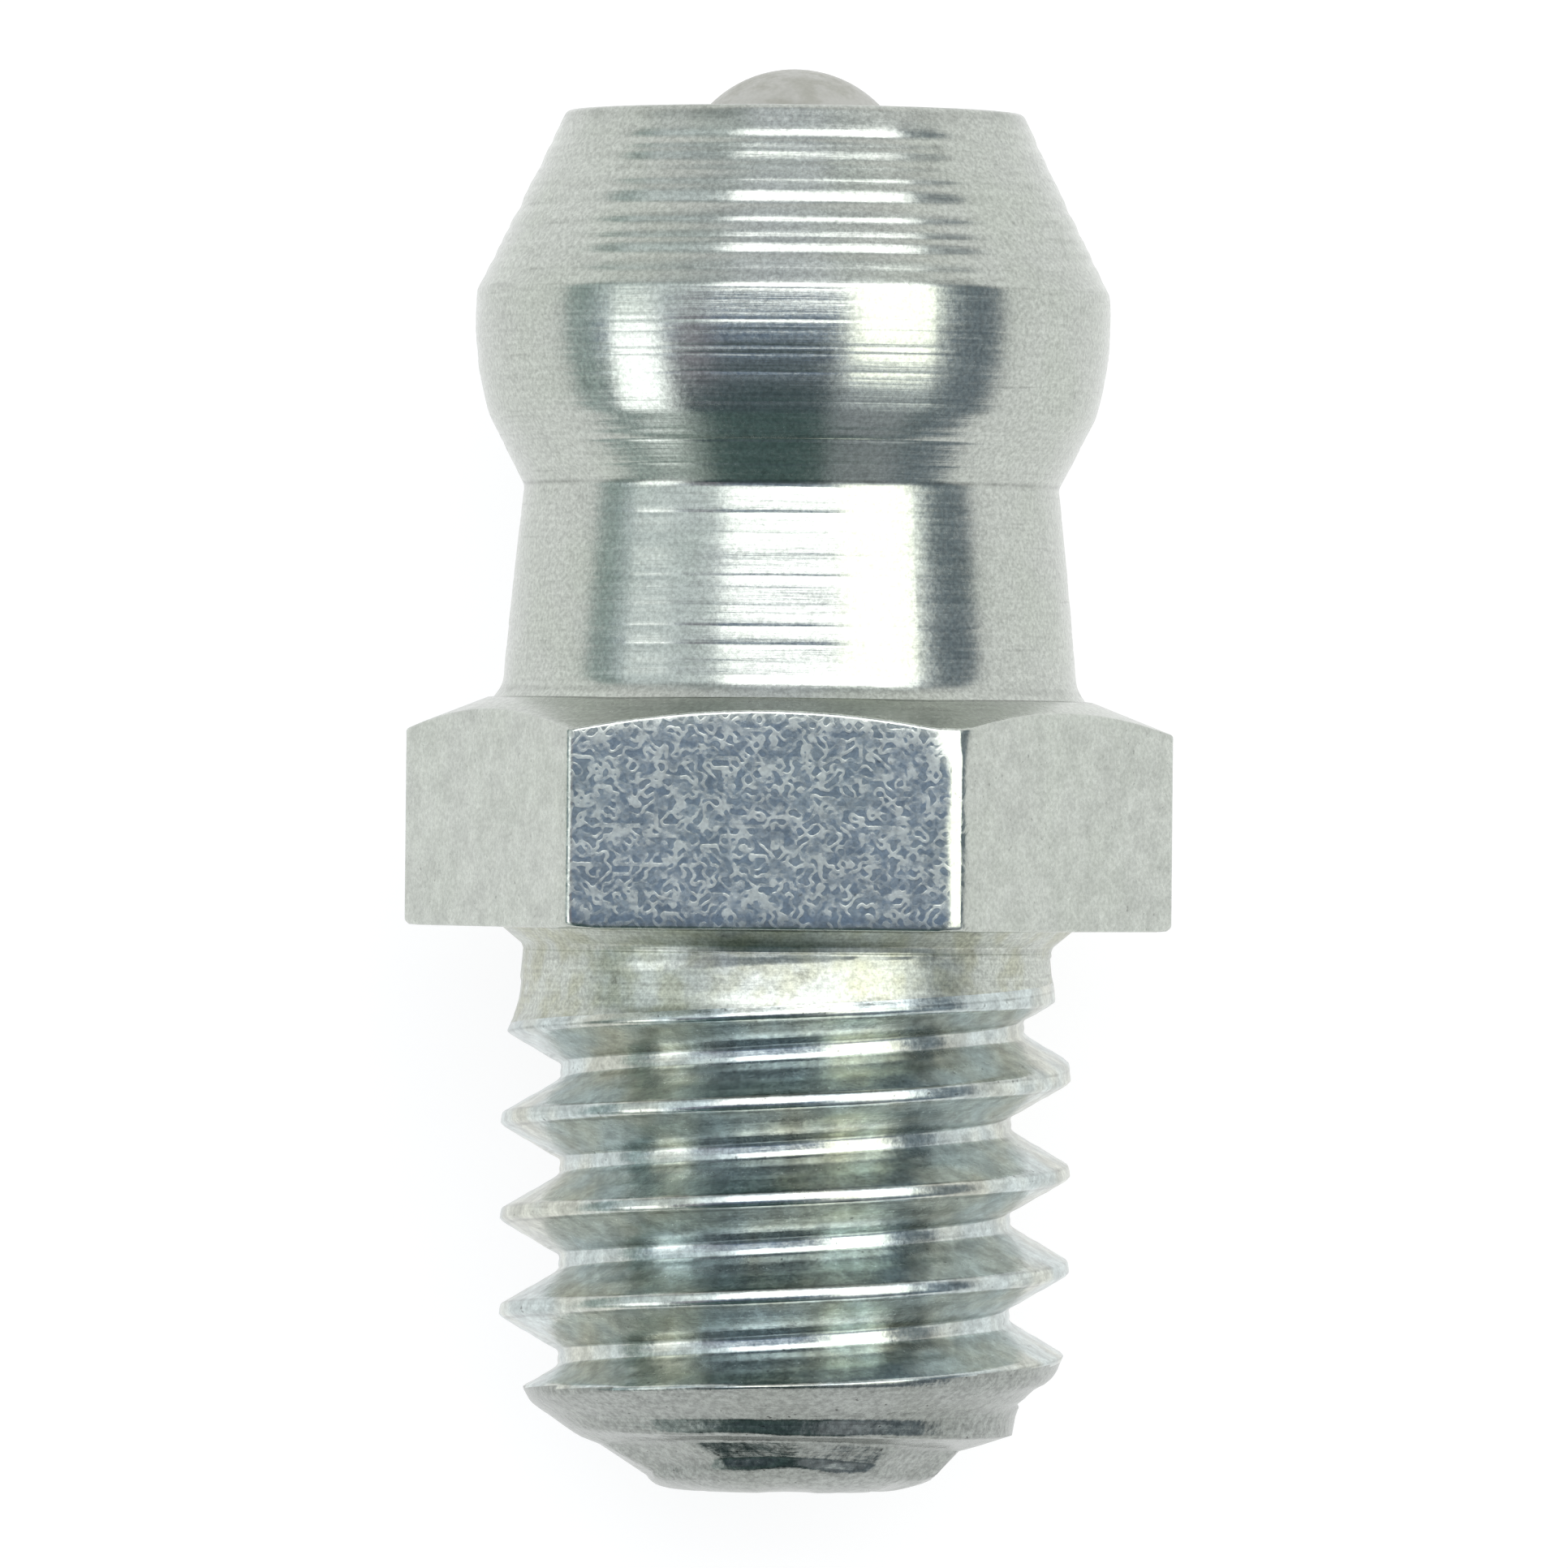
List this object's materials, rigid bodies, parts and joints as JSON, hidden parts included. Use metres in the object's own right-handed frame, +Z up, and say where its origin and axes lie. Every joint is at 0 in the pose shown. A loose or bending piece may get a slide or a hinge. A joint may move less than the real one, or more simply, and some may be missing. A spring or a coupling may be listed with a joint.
{
  "type": "grease nipple",
  "caption": "Straight grease nipple: a hexagon collar with a threaded stub below it, a ball-shaped head for a grease gun's coupler, and a spring-loaded check ball.",
  "frame": {"origin": "on the nipple's axis, in the seating face under the hexagon", "axes": "+Y along the nipple's axis, towards the head; +Z up, square to the flat of the hexagon that the nipple lies on; +X across two corners of the hexagon"},
  "size_m": [0.008, 0.0148, 0.007],
  "materials": {
    "plated_steel": "turned and milled steel with a bright, thin zinc coat",
    "hardened_ball": "hardened steel ball, satin",
    "spring_wire": "drawn spring wire, oiled"
  },
  "bodies": {
    "nipple": {"nipple_body": "plated_steel", "return_spring": "spring_wire"},
    "ball": {"check_ball": "hardened_ball"}
  },
  "joints": [
    {"name": "ball_slide", "type": "slide", "parent": "nipple", "child": "ball", "axis": [0, -1, 0], "range_m": [0, 0.008], "stiffness_N_per_m": 960, "deforming": ["return_spring"]}
  ]
}
